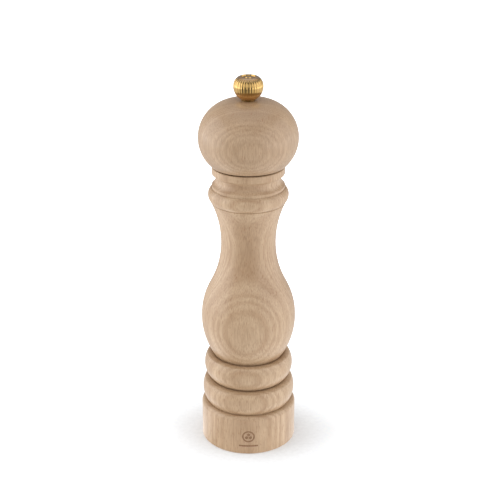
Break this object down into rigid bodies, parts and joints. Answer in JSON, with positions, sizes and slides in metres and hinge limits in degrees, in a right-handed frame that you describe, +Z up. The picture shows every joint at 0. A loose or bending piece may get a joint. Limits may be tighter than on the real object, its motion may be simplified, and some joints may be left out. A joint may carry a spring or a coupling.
{
  "type": "pepper mill",
  "caption": "Turned wooden pepper mill with a ball head on a waisted body, a fluted metal knob that sets the grind, and a steel cone burr on a square shaft.",
  "frame": {"origin": "on the mill's axis at the plane it stands on", "axes": "+Z up along the mill's axis, -Y towards the side that faces the user"},
  "size_m": [0.0558, 0.0558, 0.2194],
  "materials": {
    "turned_beech": "turned, sanded and oiled, satin",
    "brass_fluted": "fluted and polished",
    "brass_ferrule": "turned and polished",
    "bush_brass": "turned",
    "steel_turned": "turned and threaded",
    "steel_shaft": "drawn square bar, zinc plated",
    "burr_steel": "cut teeth, case hardened",
    "steel_stamped": "stamped sheet, zinc plated",
    "steel_washer": "stamped, zinc plated",
    "spring_steel": "coiled spring wire",
    "screw_steel": "rolled wood screw, zinc plated"
  },
  "bodies": {
    "mill_body": {"body_shell": "turned_beech", "female_burr": "burr_steel", "bridge": "steel_stamped", "bridge_bush": "bush_brass", "bottom_plate": "steel_stamped", "bottom_plate_screws": "screw_steel"},
    "spring_carrier": {"spring": "spring_steel", "upper_spring_washer": "steel_washer"},
    "shaft_assembly": {"shaft": "steel_shaft", "male_burr": "burr_steel", "lower_spring_washer": "steel_washer", "end_washer": "steel_washer", "burr_nut": "steel_washer"},
    "head_assembly": {"head": "turned_beech", "drive_plate": "steel_stamped", "drive_plate_screws": "screw_steel", "head_ferrule": "brass_ferrule"},
    "knob_assembly": {"knob": "brass_fluted", "knob_insert": "steel_turned"}
  },
  "joints": [
    {"name": "head_turn", "type": "hinge", "parent": "mill_body", "child": "spring_carrier", "pos_m": [0, 0, 0.1688], "axis": [0, 0, 1], "continuous": true},
    {"name": "burr_height", "type": "slide", "parent": "spring_carrier", "child": "shaft_assembly", "axis": [0, 0, 1], "range_m": [-0.001, 0.0004], "deforming": ["spring"]},
    {"name": "head_lift", "type": "slide", "parent": "spring_carrier", "child": "head_assembly", "axis": [0, 0, 1], "range_m": [0, 0.065]},
    {"name": "knob_turn", "type": "hinge", "parent": "head_assembly", "child": "knob_assembly", "pos_m": [0, 0, 0.2073], "axis": [0, 0, 1], "range_deg": [-180, 450]}
  ],
  "couplings": [
    {"joint": "knob_turn", "follows": "burr_height", "rad_per_m": -7854}
  ]
}
